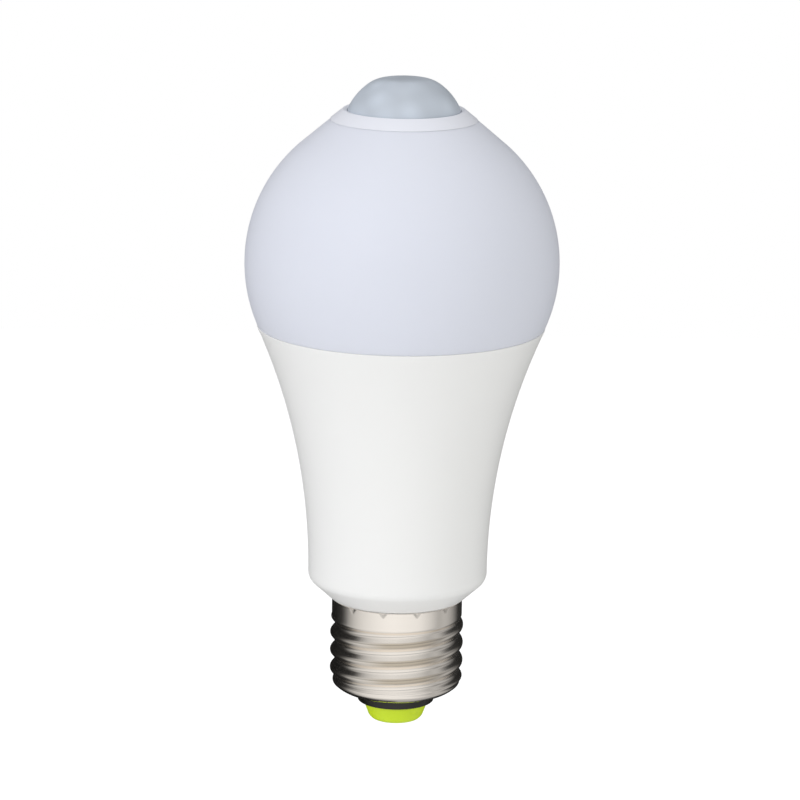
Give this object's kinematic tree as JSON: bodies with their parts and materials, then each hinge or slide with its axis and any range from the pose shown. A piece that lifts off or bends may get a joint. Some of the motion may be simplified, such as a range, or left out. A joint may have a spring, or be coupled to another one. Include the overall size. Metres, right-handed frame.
{
  "type": "motion sensor led bulb",
  "caption": "Screw-cap light bulb with a flared white housing, a milky globe with a conical crown, and a collar that holds a small dome lens over its motion sensor.",
  "frame": {"origin": "middle of the centre contact's face, where the bulb's axis meets its lowest point", "axes": "+Z along the bulb's axis from the screw cap towards the lens, -Y towards the viewer, +X to the right"},
  "size_m": [0.061, 0.061, 0.1284],
  "materials": {
    "lens_plastic": "translucent grey, satin",
    "collar_plastic": "white, satin",
    "milky_plastic": "milky, fine matt",
    "housing_plastic": "white, satin",
    "nickel_plate": "rolled sheet, bright nickel",
    "black_insulation": "black, moulded",
    "green_insulation": "lime green, moulded",
    "contact_metal": "plated rivet",
    "silicone": "cured silicone",
    "pressed_aluminium": "pressed sheet",
    "board_lacquer": "white solder resist on aluminium",
    "phosphor": "yellow phosphor in a white package",
    "steel_screw": "zinc plated",
    "connector_plastic": "cream, moulded",
    "pin_metal": "tinned",
    "column_plastic": "white, satin",
    "circuit_board": "green solder resist",
    "sensor_can": "bright can with a dark window",
    "clear_resin": "clear resin",
    "chip_plastic": "black moulding compound",
    "capacitor_sleeve": "dark sleeve",
    "film_resin": "dipped resin",
    "ferrite": "bare ferrite",
    "enamelled_wire": "enamelled copper",
    "resistor_coat": "flameproof coating",
    "varistor_resin": "blue resin",
    "red_sleeve": "wire insulation",
    "white_sleeve": "wire insulation",
    "black_sleeve": "wire insulation"
  },
  "bodies": {
    "root": {"screw_shell": "nickel_plate", "cap_insulator": "black_insulation", "tip_insulator": "green_insulation", "centre_contact": "contact_metal", "housing": "housing_plastic", "diffuser": "milky_plastic", "sensor_collar": "collar_plastic", "sensor_lens": "lens_plastic", "diffuser_seal": "silicone", "heat_sink_cup": "pressed_aluminium", "led_board": "board_lacquer", "led_01": "phosphor", "led_02": "phosphor", "led_03": "phosphor", "led_04": "phosphor", "led_05": "phosphor", "led_06": "phosphor", "led_07": "phosphor", "led_08": "phosphor", "led_09": "phosphor", "led_10": "phosphor", "led_11": "phosphor", "led_12": "phosphor", "led_13": "phosphor", "led_14": "phosphor", "led_15": "phosphor", "led_16": "phosphor", "board_screws": "steel_screw", "board_connector": "connector_plastic", "pin_plus": "pin_metal", "pin_minus": "pin_metal", "sensor_column": "column_plastic", "sensor_board": "circuit_board", "pir_sensor": "sensor_can", "photocell": "clear_resin", "sensor_chip": "chip_plastic", "sensor_capacitor": "capacitor_sleeve", "sensor_wire_1": "red_sleeve", "sensor_wire_2": "white_sleeve", "sensor_wire_3": "black_sleeve", "driver_board": "circuit_board", "bulk_capacitor": "capacitor_sleeve", "output_capacitor": "capacitor_sleeve", "film_capacitor": "film_resin", "choke_core": "ferrite", "choke_winding": "enamelled_wire", "bridge_rectifier": "chip_plastic", "driver_chip": "chip_plastic", "fuse_resistor": "resistor_coat", "varistor": "varistor_resin", "live_wire": "red_sleeve", "neutral_wire": "black_sleeve"}
  },
  "joints": []
}
